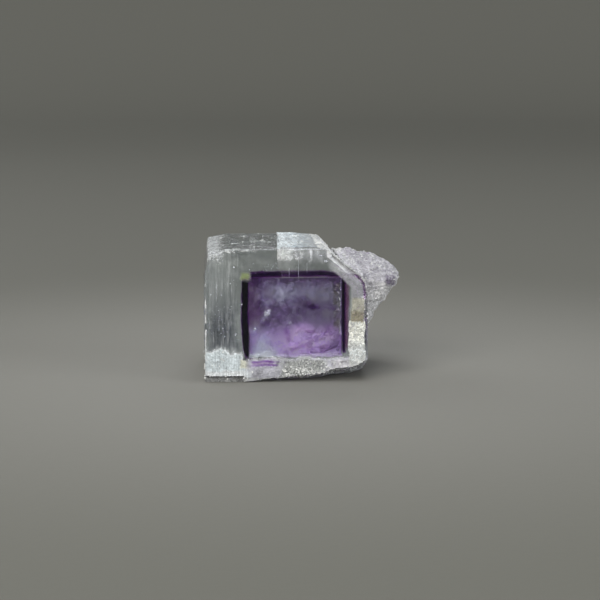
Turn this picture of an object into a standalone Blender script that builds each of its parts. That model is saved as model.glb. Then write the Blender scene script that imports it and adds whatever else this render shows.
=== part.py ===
"""A loose fluorite crystal: a clear cube with a broken, etched shoulder, the rough neighbour crystal that
grew into that shoulder, growth terraces on its faces and a broken foot ground flat to stand on.

Everything is one natural piece, so it is one solid. X runs along the cube's front face, Y goes back into
the crystal and Z is up. The origin is the middle of the bounding box at the foot. Sizes below are in
millimetres, and each mesh is brought to metres as it is made.
"""

import math

import bmesh
import bpy
from mathutils import Matrix, Vector, noise

MM = 0.001
NAME = "fluorite_crystal"

# The cube.
CUBE_LEFT = -7.0
CUBE_RIGHT = 4.42
CUBE_FRONT = -4.97
CUBE_BACK = 4.97
CUBE_TOP = 9.42
EDGE_WEAR = 0.12            # width of the worn strip along the cube's sharp edges
BELOW = 0.6                 # how far the shapes run past the foot before it is ground flat
INTO = 0.35                 # how far a raised shape reaches into the face that carries it

# The frosted top left edge: two slight slopes that meet in a line from front to back, and the corner
# facet where that line comes to the front face. Each is three points of its plane.
LEFT_LEAN = ((-7.02, 0, 7.4), (-6.72, 0, 9.14), (-7.02, 1, 7.4))
TOP_LEAN = ((-5.5, 0, 9.42), (-6.72, 0, 9.14), (-5.5, 1, 9.42))
CORNER_FACET = ((-5.45, -4.97, 9.42), (-7.0, -4.97, 8.72), (-6.7, -3.9, 9.15))

# The shoulder: a broken slope that takes off the cube's top right edge and turns down at its lower end.
SHOULDER_START = 1.5        # X where it leaves the top face
SHOULDER_SKEW = 0.01        # how that line drifts along X for each millimetre towards the back
SHOULDER_FALL = 39.0        # degrees below level at the front
SHOULDER_TWIST = 0.022      # extra fall towards the back
SHOULDER_RUN = 3.1          # length of the slope before it turns down
SHOULDER_TURN = 0.48        # how sharply it turns
SHOULDER_STEEPEST = 1.0     # the slope at which it stops turning
SHOULDER_ROUGH = 0.12
LIP_DROP = 0.014            # how far its upper edge lies under the top face, for each millimetre back
LIP_SLOPE = 6.0             # degrees, from there up to the top face

# The neighbour crystal: its middle, and its outline in the X-Z plane.
NEIGHBOUR_MIDDLE = Vector((4.0, 1.35, 6.3))
NEIGHBOUR_OUTLINE = (
    (0.9, 8.30), (2.9, 8.66), (4.3, 8.50), (5.3, 8.27), (6.34, 7.77), (6.86, 7.27), (7.04, 6.80),
    (6.88, 6.25), (6.52, 5.62), (5.95, 4.90), (5.4, 4.20), (5.0, 3.20), (3.9, 2.80), (0.9, 3.60),
)
NEIGHBOUR_HALF_DEPTH = 3.5
NEIGHBOUR_ROUNDING = 0.72   # 1 is an ellipsoid from front to back, less is squarer
NEIGHBOUR_ROUGH = 0.2
RIDGE_HEIGHT = 0.1
RIDGE_SPACING = 0.78
RIDGE_CENTRE = Vector((6.5, 0.0, 14.0))     # the ridges are arcs round this line

# The flat breaks on the neighbour's underside, back and lower front. Each is three points of its plane.
NEIGHBOUR_BREAKS = (
    ((6.95, -2.0, 6.1), (4.7, -2.0, 3.1), (6.6, 4.5, 5.6)),
    ((6.9, 2.3, 7.5), (5.0, 4.8, 7.0), (6.6, 2.1, 4.5)),
    ((4.4, -2.15, 4.4), (6.6, -0.55, 5.6), (5.0, -0.6, 2.9)),
)

# The broken foot: the height of its front edge along X, and how fast it falls towards the back.
FOOT_EDGE = (
    (-7.6, -0.25), (-4.3, 0.03), (-2.5, 0.30), (0.0, 0.48), (1.5, 0.70), (2.0, 0.95), (3.4, 1.10), (7.6, 3.2),
)
FOOT_FALL = 0.31
FOOT_ROUGH = 0.13

# The recessed ledge under the left end of the front face.
LEDGE_RIGHT = -4.3
LEDGE_HEIGHT = 0.47
LEDGE_DEPTH = 0.28

# Etched crusts on the front face: left, right, bottom, top, and how far their chips stand out.
CRUSTS = (
    (-6.95, 4.38, -0.4, 2.05, 0.08),
    (2.85, 4.38, 1.6, 4.50, 0.07),
)
CHIP_SIZE = 0.75

# Growth terraces: the face, the middle along it and up it, width, height, and how far they stand out.
TERRACES = (
    ("left", -1.2, 4.1, 5.2, 5.0, 0.035),
    ("left", -2.2, 3.1, 2.1, 2.4, 0.07),
    ("left", 2.9, 5.6, 1.7, 2.2, 0.05),
    ("back", 2.6, 4.9, 6.4, 6.2, 0.04),
    ("back", 4.2, 3.2, 2.2, 2.6, 0.08),
    ("back", -1.9, 2.4, 2.3, 2.6, 0.06),
    ("top", 0.15, 0.0, 3.6, 9.6, 0.1),
    ("top", -4.0, 1.9, 2.4, 4.2, 0.05),
    ("right", -2.9, 3.0, 2.6, 2.9, 0.07),
)

CRYSTAL_COLOUR = (0.62, 0.58, 0.72, 1.0)
CRYSTAL_ROUGHNESS = 0.12
FLUORITE_IOR = 1.434

FINE = 0.27                 # grid spacing of the broken and etched surfaces
OUTSIDE = 3.0               # how far a cutter runs clear of the crystal


def collection(name):
    made = bpy.data.collections.new(name)
    bpy.context.scene.collection.children.link(made)
    return made


def object_from(bm, name, group, place=Matrix()):
    """Turns a bmesh in millimetres into an object in metres, with its place in its mesh."""
    bmesh.ops.transform(bm, matrix=Matrix.Scale(MM, 4) @ place, verts=bm.verts)
    bmesh.ops.recalc_face_normals(bm, faces=bm.faces)
    if bm.calc_volume(signed=True) < 0:
        bmesh.ops.reverse_faces(bm, faces=bm.faces)
    mesh = bpy.data.meshes.new(name)
    bm.to_mesh(mesh)
    bm.free()
    made = bpy.data.objects.new(name, mesh)
    group.objects.link(made)
    return made


def combine(crystal, tool, operation):
    """Adds a tool to the crystal, or cuts it away, and keeps the tool out of sight."""
    tool.hide_render = True
    tool.display_type = "WIRE"
    step = crystal.modifiers.new(tool.name, "BOOLEAN")
    step.operation = operation
    step.solver = "EXACT"
    step.object = tool


def relief(at, size, seed):
    """A broken surface's height at a place, between about -1 and 1: flat chips with creases between."""
    spot = at / size + Vector((seed, -seed, 0.5 * seed))
    near = noise.voronoi(spot)[0]
    return 0.65 * (near[1] - near[0]) - 0.35 + 0.55 * noise.noise(1.9 * spot)


def rise(table, x):
    """The height of a line of (x, height) points at x."""
    for (x0, h0), (x1, h1) in zip(table, table[1:]):
        if x <= x1:
            return h0 + (h1 - h0) * (x - x0) / (x1 - x0)
    return table[-1][1]


def box(low, high):
    bm = bmesh.new()
    bmesh.ops.create_cube(bm, size=1.0)
    low, high = Vector(low), Vector(high)
    size = Matrix.Diagonal((*(high - low), 1.0))
    bmesh.ops.transform(bm, matrix=Matrix.Translation((low + high) / 2) @ size, verts=bm.verts)
    return bm


def rough_block(x0, x1, y0, y1, height, far):
    """A block over a rectangle: one side follows height(x, y), the other is flat at z = far."""
    bm = bmesh.new()
    across = max(2, round((x1 - x0) / FINE))
    along = max(2, round((y1 - y0) / FINE))
    bmesh.ops.create_grid(bm, x_segments=across, y_segments=along, size=0.5)
    for vertex in bm.verts:
        x = x0 + (vertex.co.x + 0.5) * (x1 - x0)
        y = y0 + (vertex.co.y + 0.5) * (y1 - y0)
        vertex.co = (x, y, height(x, y))
    grown = bmesh.ops.extrude_face_region(bm, geom=bm.faces[:])["geom"]
    for vertex in grown:
        if isinstance(vertex, bmesh.types.BMVert):
            vertex.co.z = far
    return bm


def frame(origin, x_axis, y_axis, z_axis):
    """The matrix that takes a shape's own axes to these directions."""
    turn = Matrix((x_axis, y_axis, z_axis)).transposed().to_4x4()
    return Matrix.Translation(origin) @ turn


def face_frame(face):
    """Axes on one of the cube's faces: along it, up it, and out of it."""
    return {
        "front": frame((0, CUBE_FRONT, 0), (1, 0, 0), (0, 0, 1), (0, -1, 0)),
        "back": frame((0, CUBE_BACK, 0), (-1, 0, 0), (0, 0, 1), (0, 1, 0)),
        "left": frame((CUBE_LEFT, 0, 0), (0, -1, 0), (0, 0, 1), (-1, 0, 0)),
        "right": frame((CUBE_RIGHT, 0, 0), (0, 1, 0), (0, 0, 1), (1, 0, 0)),
        "top": frame((0, 0, CUBE_TOP), (1, 0, 0), (0, 1, 0), (0, 0, 1)),
    }[face]


def slice_off(bm, plane):
    """Cuts away what lies on the far side of a plane from the cube's middle, and closes the cut."""
    a, b, c = (Vector(point) for point in plane)
    out = (b - a).cross(c - a).normalized()
    if out.dot(Vector((0.0, 0.0, CUBE_TOP / 2)) - a) > 0:
        out.negate()
    every = bm.verts[:] + bm.edges[:] + bm.faces[:]
    cut = bmesh.ops.bisect_plane(bm, geom=every, dist=1e-6, plane_co=a, plane_no=out, clear_outer=True)
    rim = [item for item in cut["geom_cut"] if isinstance(item, bmesh.types.BMEdge)]
    bmesh.ops.contextual_create(bm, geom=rim)


def cube_body():
    """The cube with its leaning, frosted top left edge and with its sharp edges worn."""
    bm = box((CUBE_LEFT, CUBE_FRONT, -BELOW), (CUBE_RIGHT, CUBE_BACK, CUBE_TOP))
    for plane in (LEFT_LEAN, TOP_LEAN, CORNER_FACET):
        slice_off(bm, plane)
    sharp = [edge for edge in bm.edges if edge.calc_face_angle() > math.radians(60)]
    bmesh.ops.bevel(bm, geom=sharp, offset=EDGE_WEAR, segments=1, affect="EDGES", clamp_overlap=True)
    return bm


def terrace(width, height, proud, along, up):
    """A raised square-edged growth step, in a face's own axes."""
    return box((along - width / 2, up - height / 2, -INTO), (along + width / 2, up + height / 2, proud))


def crust(left, right, bottom, top, proud, seed):
    """An etched patch of a face that breaks up into the smooth face round its rim."""

    def height(x, y):
        rim = min(x - left, right - x, y - bottom, top - y)
        fade = min(1.0, rim / (1.5 * FINE))
        chips = relief(Vector((x, y, 0.0)), CHIP_SIZE, seed)
        return proud * min(1.0, 1.1 * chips + 1.5 * fade - 1.0)

    return rough_block(left, right, bottom, top, height, -INTO)


def shoulder_cutter():
    """What is missing above the shoulder's slope. Its underside is the broken surface."""
    fall = math.radians(SHOULDER_FALL)
    down = Vector((math.cos(fall), 0.0, -math.sin(fall)))
    out = Vector((math.sin(fall), 0.0, math.cos(fall)))
    back = Vector((SHOULDER_SKEW, 1.0, 0.0))

    lip = math.tan(math.radians(SHOULDER_FALL - LIP_SLOPE))
    knee = SHOULDER_STEEPEST / (2 * SHOULDER_TURN)

    def height(x, y):
        past = max(0.0, x - SHOULDER_RUN)
        turned = SHOULDER_TURN * min(past, knee) ** 2 + SHOULDER_STEEPEST * max(0.0, past - knee)
        sunk = LIP_DROP * y + SHOULDER_TWIST * max(0.0, x) * y + lip * max(0.0, -x)
        return SHOULDER_ROUGH * relief(Vector((x, y, 0.0)), 1.2, 4.0) - turned - sunk

    depth = CUBE_BACK - CUBE_FRONT
    bm = rough_block(-OUTSIDE, SHOULDER_RUN + OUTSIDE, -1.0, depth + 1.0, height, 2 * OUTSIDE)
    return bm, frame((SHOULDER_START, CUBE_FRONT, CUBE_TOP), down, back, out)


def outline_radius(angle):
    """How far the neighbour's outline is from its middle in a direction of the X-Z plane."""
    ray = Vector((math.cos(angle), math.sin(angle)))
    middle = Vector((NEIGHBOUR_MIDDLE.x, NEIGHBOUR_MIDDLE.z))
    points = [Vector(point) - middle for point in NEIGHBOUR_OUTLINE]
    for start, end in zip(points, points[1:] + points[:1]):
        side = end - start
        across = ray.x * side.y - ray.y * side.x
        if abs(across) < 1e-9:
            continue
        reach = (start.x * side.y - start.y * side.x) / across
        share = (start.x * ray.y - start.y * ray.x) / across
        if reach > 0 and -1e-6 <= share <= 1 + 1e-6:
            return reach
    return 0.0


def squared(value):
    """Pushes a cosine or sine outwards, so that a round section becomes a squarer one."""
    return math.copysign(abs(value) ** NEIGHBOUR_ROUNDING, value)


def neighbour():
    """The rough crystal grown into the shoulder: a rounded wedge crossed by curved growth ridges."""
    bm = bmesh.new()
    bmesh.ops.create_icosphere(bm, subdivisions=5, radius=1.0)
    for vertex in bm.verts:
        way = vertex.co.normalized()
        level = math.hypot(way.x, way.z)
        angle = math.atan2(way.z, way.x)
        reach = outline_radius(angle) * squared(level)
        offset = Vector((math.cos(angle) * reach, squared(way.y) * NEIGHBOUR_HALF_DEPTH, math.sin(angle) * reach))
        place = NEIGHBOUR_MIDDLE + offset
        spread = (place - RIDGE_CENTRE) * Vector((1.0, 0.35, 1.0))
        phase = spread.length / RIDGE_SPACING + 0.55 * noise.noise(0.7 * place)
        ridge = 1.0 - 2.0 * (phase % 1.0)
        chips = relief(place, 1.1, 9.0)
        vertex.co = place + way * (RIDGE_HEIGHT * ridge + NEIGHBOUR_ROUGH * chips) * (0.25 + 0.75 * level)
    for plane in NEIGHBOUR_BREAKS:
        slice_off(bm, plane)
    return bm


def foot_cutter():
    """What is missing under the broken foot. Its upper side is the broken surface."""

    def height(x, y):
        slope = rise(FOOT_EDGE, x) - FOOT_FALL * (y - CUBE_FRONT)
        return slope + FOOT_ROUGH * relief(Vector((x, y, 0.0)), 1.2, 2.0)

    return rough_block(-7.6, 7.6, CUBE_FRONT - 0.6, CUBE_BACK + 0.6, height, -2 * OUTSIDE)


def crystal_material():
    material = bpy.data.materials.new("clear_fluorite")
    material.use_nodes = True
    shader = material.node_tree.nodes["Principled BSDF"]
    shader.inputs["Base Color"].default_value = CRYSTAL_COLOUR
    shader.inputs["Roughness"].default_value = CRYSTAL_ROUGHNESS
    shader.inputs["Metallic"].default_value = 0.0
    shader.inputs["IOR"].default_value = FLUORITE_IOR
    shader.inputs["Transmission Weight"].default_value = 0.9
    return material


def build():
    for old in list(bpy.data.objects):
        bpy.data.objects.remove(old)
    parts = collection("fluorite_cube")
    tools = collection("cutters")

    crystal = object_from(cube_body(), NAME, parts)
    crystal.data.materials.append(crystal_material())

    for number, (face, along, up, width, height, proud) in enumerate(TERRACES, 1):
        shape = terrace(width, height, proud, along, up)
        combine(crystal, object_from(shape, f"terrace_{number}", tools, face_frame(face)), "UNION")
    for number, (left, right, bottom, top, proud) in enumerate(CRUSTS, 1):
        shape = crust(left, right, bottom, top, proud, 3.0 * number)
        combine(crystal, object_from(shape, f"crust_{number}", tools, face_frame("front")), "UNION")

    shape, place = shoulder_cutter()
    combine(crystal, object_from(shape, "above_shoulder", tools, place), "DIFFERENCE")
    combine(crystal, object_from(neighbour(), "neighbour_crystal", tools), "UNION")
    combine(crystal, object_from(foot_cutter(), "under_foot", tools), "DIFFERENCE")
    ledge = box((CUBE_LEFT - 1, CUBE_FRONT - 1, -1), (LEDGE_RIGHT, CUBE_FRONT + LEDGE_DEPTH, LEDGE_HEIGHT))
    combine(crystal, object_from(ledge, "under_ledge", tools), "DIFFERENCE")
    ground = box((-9, -8, -OUTSIDE), (9, 8, 0.0))
    combine(crystal, object_from(ground, "ground", tools), "DIFFERENCE")


build()
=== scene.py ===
"""Fluorite crystal with a violet growth square inside, standing on a plain floor.

The working unit is the millimetre: x to the right, y away from the viewer, z up. Meshes are
brought to metres as they are made. The growth zones lie inside the clear crystal.
"""

import math

import bmesh
import bpy
import numpy as np
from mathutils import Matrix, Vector


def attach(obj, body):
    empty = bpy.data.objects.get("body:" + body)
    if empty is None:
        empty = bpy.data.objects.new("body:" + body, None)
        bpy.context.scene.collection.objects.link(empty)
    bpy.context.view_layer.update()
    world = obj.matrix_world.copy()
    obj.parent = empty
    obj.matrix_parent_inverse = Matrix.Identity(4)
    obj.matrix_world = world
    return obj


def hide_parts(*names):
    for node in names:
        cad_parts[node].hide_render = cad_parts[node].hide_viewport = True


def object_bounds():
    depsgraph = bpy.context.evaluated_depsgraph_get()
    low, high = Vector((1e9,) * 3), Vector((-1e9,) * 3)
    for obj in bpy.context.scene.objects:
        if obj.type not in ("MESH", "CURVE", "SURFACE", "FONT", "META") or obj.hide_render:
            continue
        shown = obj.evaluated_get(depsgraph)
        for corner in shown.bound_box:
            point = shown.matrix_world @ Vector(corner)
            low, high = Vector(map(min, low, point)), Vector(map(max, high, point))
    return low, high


MM = 0.001

# The faces of the clear cube.
LEFT, TOP = -7.0, 9.42
FRONT, BACK = -4.97, 4.97

# How far the front violet zone and the milky cloud behind it reach, across and up.
SQUARE_X, SQUARE_Z = (-3.92, 2.74), (1.5, 7.22)
CLOUD_X, CLOUD_Z = (-3.8, 2.82), (1.25, 7.05)

FLUORITE_IOR = 1.434
INSIDE_IOR = 1.0  # what lies inside the crystal doesn't bend the light again
CLEAR_TINT = (0.93, 0.955, 0.99)
WHITE = (1.0, 1.0, 1.0, 1.0)

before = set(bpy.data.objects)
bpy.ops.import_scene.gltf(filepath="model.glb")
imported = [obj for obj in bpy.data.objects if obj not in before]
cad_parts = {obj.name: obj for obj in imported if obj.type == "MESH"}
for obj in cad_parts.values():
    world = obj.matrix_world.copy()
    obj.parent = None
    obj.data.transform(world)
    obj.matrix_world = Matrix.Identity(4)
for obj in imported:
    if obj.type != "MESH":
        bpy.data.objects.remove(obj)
cad_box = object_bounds()


# ---- numbers


def ramp(value, start, end):
    """0 before start and 1 after end, eased; start may be the larger."""
    t = np.clip((value - start) / (end - start), 0.0, 1.0)
    return t * t * (3.0 - 2.0 * t)


def lattice(i, j, k, seed):
    """A number from 0 to 1 for each corner of a grid, always the same for the same seed."""
    h = (i * 374761393 + j * 668265263 + k * 1440662683 + seed * 974634777) & 0xFFFFFFFF
    h = ((h ^ (h >> 13)) * 1274126177) & 0xFFFFFFFF
    h = ((h ^ (h >> 15)) * 668265263) & 0xFFFFFFFF
    return (h ^ (h >> 16)) / 4294967295.0


def cloud(p, size, seed):
    """Smooth noise from -1 to 1 whose lumps are about `size` across (one size, or one per axis)."""
    q = np.asarray(p, float) / np.asarray(size, float)
    base = np.floor(q).astype(np.int64)
    f = q - base
    f = f * f * f * (f * (f * 6.0 - 15.0) + 10.0)
    total = 0.0
    for corner in np.ndindex(2, 2, 2):
        weight = 1.0
        for n in range(3):
            weight = weight * (f[:, n] if corner[n] else 1.0 - f[:, n])
        total = total + weight * lattice(*(base + corner).T, seed)
    return 2.0 * total - 1.0


def clouds(p, size, seed, octaves=3):
    """Several sizes of smooth noise added up, each half the last, about -1 to 1."""
    total = 0.0
    for n in range(octaves):
        total = total + cloud(p, np.asarray(size, float) / 2**n, seed + 17 * n) / 2**n
    return total / (2.0 - 2.0 / 2**octaves)


def window(value, low, high, soft):
    """1 between low and high, fading to 0 over `soft` outside them."""
    return ramp(value, low - soft, low) * ramp(value, high + soft, high)


# ---- meshes


def finer(points, triangles, longest):
    """Splits every edge longer than longest(midpoints), again and again."""
    most_rounds = 14
    for _ in range(most_rounds):
        base = len(points) + 1
        edges = np.sort(triangles[:, [[0, 1], [1, 2], [2, 0]]].reshape(-1, 2), axis=1)
        keys, index = np.unique(edges[:, 0] * base + edges[:, 1], return_inverse=True)
        ends = np.stack([keys // base, keys % base], 1)
        middle = (points[ends[:, 0]] + points[ends[:, 1]]) / 2
        length = np.linalg.norm(points[ends[:, 0]] - points[ends[:, 1]], axis=1)
        split = length > longest(middle)
        if not split.any():
            break
        number = np.full(len(keys), -1)
        number[split] = len(points) + np.arange(split.sum())
        points = np.concatenate([points, middle[split]])
        cut = number[index.reshape(-1, 3)]
        count = (cut >= 0).sum(1)
        made = [triangles[count == 0]]
        for turn in range(3):
            order = [turn, (turn + 1) % 3, (turn + 2) % 3]
            tri, mid = triangles[:, order], cut[:, order]
            one = (count == 1) & (mid[:, 0] >= 0)
            a, b, c = tri[one].T
            m = mid[one, 0]
            made += [np.stack([a, m, c], 1), np.stack([m, b, c], 1)]
            two = (count == 2) & (mid[:, 2] < 0)
            a, b, c = tri[two].T
            m, n = mid[two, 0], mid[two, 1]
            made += [np.stack(corners, 1) for corners in ([m, b, n], [a, m, n], [a, n, c])]
        three = count == 3
        a, b, c = triangles[three].T
        m, n, o = cut[three].T
        fours = ([a, m, o], [m, b, n], [o, n, c], [m, n, o])
        made += [np.stack(corners, 1) for corners in fours]
        triangles = np.concatenate(made)
    return points, triangles


def outward(points, triangles):
    """Unit normals at the points, each triangle counted by its area."""
    a, b, c = (points[triangles[:, n]] for n in range(3))
    area = np.cross(b - a, c - a)
    normals = np.zeros_like(points)
    for n in range(3):
        np.add.at(normals, triangles[:, n], area)
    return normals / np.maximum(np.linalg.norm(normals, axis=1), 1e-12)[:, None]


def linked(name, data):
    obj = bpy.data.objects.new(name, data)
    bpy.context.scene.collection.objects.link(obj)
    return obj


def mesh_object(name, points, faces, material, crease):
    """A mesh of points in millimetres; edges that bend by more than `crease` degrees stay sharp."""
    mesh = bpy.data.meshes.new(name)
    mesh.from_pydata((np.asarray(points) * MM).tolist(), [], np.asarray(faces).tolist())
    mesh.materials.append(material)
    mesh.polygons.foreach_set("use_smooth", [True] * len(mesh.polygons))
    mesh.set_sharp_from_angle(angle=math.radians(crease))
    return linked(name, mesh)


def paint(obj, name, values):
    """Stores one number, or one colour, for each vertex under a name that materials can read."""
    kind, field = "FLOAT", "value"
    if values.ndim == 2:
        kind, field = "FLOAT_COLOR", "color"
        values = np.concatenate([values, np.ones((len(values), 1))], axis=1)
    layer = obj.data.attributes.new(name, kind, "POINT")
    layer.data.foreach_set(field, values.ravel())


BOX_CORNERS = np.array([[x, y, z] for x in (0.0, 1.0) for y in (0.0, 1.0) for z in (0.0, 1.0)])
BOX_TRIANGLES = np.array([
    [0, 1, 3], [0, 3, 2], [4, 6, 7], [4, 7, 5], [0, 4, 5], [0, 5, 1],
    [2, 3, 7], [2, 7, 6], [0, 2, 6], [0, 6, 4], [1, 5, 7], [1, 7, 3],
])


def slab(low, high, cell):
    """A closed box from corner to corner, in triangles no longer than `cell`."""
    low, high = np.array(low, float), np.array(high, float)
    points = low + BOX_CORNERS * (high - low)
    return finer(points, BOX_TRIANGLES, lambda middle: np.full(len(middle), cell))


# ---- materials


def new_node(tree, kind, inputs, **settings):
    """Adds a node, with a value or a link for each input named; gives back its outputs."""
    node = tree.nodes.new(kind)
    for key, value in settings.items():
        setattr(node, key, value)
    for key, value in inputs.items():
        if isinstance(value, bpy.types.NodeSocket):
            tree.links.new(value, node.inputs[key])
        elif value is not None:
            node.inputs[key].default_value = value
    return node.outputs


class Nodes:
    """Short calls for building one material's node tree."""

    def __init__(self, name, ior=None):
        self.material = bpy.data.materials.new(name)
        self.material.use_nodes = True
        self.tree = self.material.node_tree
        self.surface = self.tree.nodes["Principled BSDF"]
        if ior is not None:
            self.surface.inputs["IOR"].default_value = ior

    def add(self, kind, inputs, **settings):
        return new_node(self.tree, "ShaderNode" + kind, inputs, **settings)

    def place(self, scale):
        """Object coordinates in millimetres, times scale (one number, or one per axis)."""
        scale = scale if isinstance(scale, tuple) else (scale,) * 3
        spot = self.add("TexCoord", {})["Object"]
        return self.add("Mapping", {"Vector": spot, "Scale": [s / MM for s in scale]})["Vector"]

    def noise(self, scale, detail=3.0, rough=0.55, warp=0.0):
        inputs = {"Vector": self.place(scale), "Scale": 1.0, "Detail": detail}
        return self.add("TexNoise", {**inputs, "Roughness": rough, "Distortion": warp})["Fac"]

    def cells(self, scale):
        """Blocky cells: the distance from each cell's middle, and one number for each cell."""
        inputs = {"Vector": self.place(scale), "Scale": 1.0}
        cell = self.add("TexVoronoi", inputs, distance="CHEBYCHEV")
        return cell["Distance"], cell["Color"]

    def attribute(self, name, colour=False):
        return self.add("Attribute", {}, attribute_name=name)["Color" if colour else "Fac"]

    def math(self, operation, a, b, clamp=False):
        return self.add("Math", {0: a, 1: b}, operation=operation, use_clamp=clamp)[0]

    def times(self, a, b):
        return self.math("MULTIPLY", a, b)

    def plus(self, a, b, clamp=False):
        return self.math("ADD", a, b, clamp)

    def minus(self, a, b, clamp=False):
        return self.math("SUBTRACT", a, b, clamp)

    def span(self, value, start, end, low=0.0, high=1.0):
        """Low before start and high after end, eased."""
        inputs = {"Value": value, "From Min": start, "From Max": end, "To Min": low, "To Max": high}
        return self.add("MapRange", inputs, interpolation_type="SMOOTHSTEP")["Result"]

    def mix(self, factor, a, b, kind="MIX"):
        inputs = {"Factor": factor, "A": a, "B": b}
        return self.add("Mix", inputs, data_type="RGBA", blend_type=kind)["Result"]

    def shaded(self, a, b):
        """Two colours multiplied."""
        return self.mix(1.0, a, b, kind="MULTIPLY")

    def bump(self, height, distance, strength=1.0, normal=None):
        inputs = {"Height": height, "Distance": distance * MM, "Strength": strength}
        return self.add("Bump", {**inputs, "Normal": normal})["Normal"]

    def absorb(self, colour, per_metre):
        volume = self.add("VolumeAbsorption", {"Color": (*colour, 1.0), "Density": per_metre})
        self.tree.links.new(volume[0], self.tree.nodes["Material Output"].inputs["Volume"])

    def finish(self, **inputs):
        for name, value in inputs.items():
            socket = self.surface.inputs[name.replace("_", " ").title()]
            if isinstance(value, bpy.types.NodeSocket):
                self.tree.links.new(value, socket)
            else:
                socket.default_value = value
        return self.material


def clear_fluorite():
    """Clear crystal with milky, frosted and granular places, told apart by painted values."""
    n = Nodes("clear_fluorite", FLUORITE_IOR)
    tint = n.attribute("tint", colour=True)
    matt, gritty, haze, striae = map(n.attribute, ("matt", "gritty", "haze", "striae"))
    soft = n.noise(1.5, detail=7.0, rough=0.68, warp=0.3)
    mid = n.noise(3.0, detail=6.0, rough=0.72, warp=0.2)
    grain = n.noise(6.5, detail=5.0, rough=0.72)
    speck = n.noise(15.0, detail=3.0, rough=0.6)
    broad = n.noise(0.9, detail=3.0, warp=0.4)
    streaks = n.noise((9.0, 9.0, 0.25), detail=5.0, rough=0.75)
    thin = n.noise((15.0, 15.0, 0.9), detail=4.0, rough=0.75)
    facet, cell = n.cells(5.5)
    small, tiny = n.cells(12.0)

    def about_half(value, reach):
        return n.times(n.minus(value, 0.5), reach)

    # Where the surface is broken, and so covers the clear inside.
    broken = n.plus(matt, about_half(soft, 1.3))
    broken = n.plus(broken, about_half(grain, n.plus(0.45, n.times(gritty, 1.3))))
    cover = n.times(n.span(broken, 0.12, 0.95), n.span(matt, 0.0, 0.12))

    # How milky it is: broken places, growth lines, dust, haze and specks of painted glints.
    lines = n.plus(n.span(streaks, 0.4, 0.66, 0.0, 0.07), n.span(thin, 0.5, 0.64, 0.0, 0.13))
    lines = n.times(striae, n.times(lines, n.span(broad, 0.25, 0.7, 0.35, 1.0)))
    dust = n.times(n.span(speck, 0.64, 0.74, 0.0, 0.4), n.span(mid, 0.45, 0.7))
    dust = n.times(dust, n.plus(n.times(striae, 0.92), 0.08))
    veil = n.times(haze, n.span(mid, 0.28, 0.72, 0.55, 1.25))
    painted_glints = n.times(n.span(speck, 0.55, 0.63), gritty)
    milk = n.plus(n.plus(n.times(cover, 0.95), lines), dust)
    milk = n.plus(milk, veil, clamp=True)
    milk = n.plus(milk, n.times(painted_glints, 0.5), clamp=True)

    # Broken places are shaded by their facets, grains and growth lines.
    facets = n.times(n.span(cell, 0.15, 0.75, 0.45, 1.15), n.span(tiny, 0.2, 0.7, 0.75, 1.05))
    light = n.shaded(n.mix(gritty, WHITE, facets), n.span(mid, 0.3, 0.66, 0.62, 1.0))
    light = n.shaded(light, n.span(grain, 0.3, 0.62, 0.72, 1.0))
    light = n.shaded(light, n.span(speck, 0.3, 0.6, 0.9, 1.1))
    flames = n.mix(striae, WHITE, n.span(streaks, 0.36, 0.62, 0.62, 1.25))
    shade = n.mix(cover, WHITE, n.shaded(light, flames))
    # Painted glints: those specks are brighter than white.
    shade = n.mix(painted_glints, shade, (1.5, 1.5, 1.5, 1.0))

    # The fine relief: growth lines first, then grains and facets over them.
    normal = n.bump(n.times(streaks, striae), 0.04, strength=0.3)
    height = n.plus(grain, n.times(speck, 0.3))
    height = n.plus(height, n.times(mid, 1.2))
    height = n.minus(height, n.times(facet, 0.7))
    height = n.minus(height, n.times(small, 0.3))
    amount = n.times(cover, n.plus(0.25, n.times(gritty, 0.75)))
    normal = n.bump(n.times(height, n.plus(amount, 0.003)), 0.2, normal=normal)
    rough = n.plus(n.times(cover, 0.3), 0.03)
    n.absorb((0.42, 0.68, 0.74), 26.0)
    return n.finish(
        base_color=n.shaded(tint, shade),
        roughness=n.plus(rough, n.times(haze, 0.5), clamp=True),
        normal=normal,
        transmission_weight=n.minus(1.0, milk, clamp=True),
    )


def absorbing_inside(name, colour, per_metre):
    """A coloured sheet inside the crystal that takes light away and doesn't bend it; the growth
    zones use it, and so does the sheet of painted shade.
    """
    n = Nodes(name, INSIDE_IOR)
    n.absorb(colour, per_metre)
    return n.finish(base_color=WHITE, roughness=0.0, transmission_weight=1.0)


def stage_paint():
    """A painted pool of light on the floor: pale near the middle, a quieter grey further away, and
    another grey on the wall, painted lighter where the lamps' light falls off.
    """
    n = Nodes("sweep_paint")
    away = n.add("VectorMath", {0: n.place(1.0)}, operation="LENGTH")["Value"]
    grain = n.noise(1.6, detail=6.0, rough=0.7)
    painted_light_pool = n.mix(grain, (0.132, 0.131, 0.117, 1.0), (0.141, 0.14, 0.126, 1.0))
    far = n.mix(grain, (0.073, 0.073, 0.061, 1.0), (0.077, 0.077, 0.064, 1.0))
    # The painted pool of light fades out from the middle of the floor.
    floor = n.mix(n.span(away, 6.0, 60.0), painted_light_pool, far)
    return n.finish(
        base_color=n.mix(n.span(away, 225.0, 400.0), floor, (0.118, 0.118, 0.102, 1.0)),
        roughness=0.85,
        normal=n.bump(grain, 0.05, strength=0.3),
    )


# ---- the crystal


def crystal_surface():
    """The solid's points and triangles in millimetres, flat faces in good triangles."""
    solid = bmesh.new()
    solid.from_mesh(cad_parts["fluorite_crystal"].data)
    bmesh.ops.remove_doubles(solid, verts=solid.verts, dist=1e-6)
    bmesh.ops.dissolve_limit(
        solid, angle_limit=math.radians(0.4), verts=solid.verts, edges=solid.edges
    )
    bmesh.ops.triangulate(solid, faces=solid.faces, ngon_method="BEAUTY")
    solid.verts.ensure_lookup_table()
    points = np.array([v.co for v in solid.verts], float) / MM
    triangles = np.array([[v.index for v in f.verts] for f in solid.faces])
    solid.free()
    return points, triangles


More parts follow.
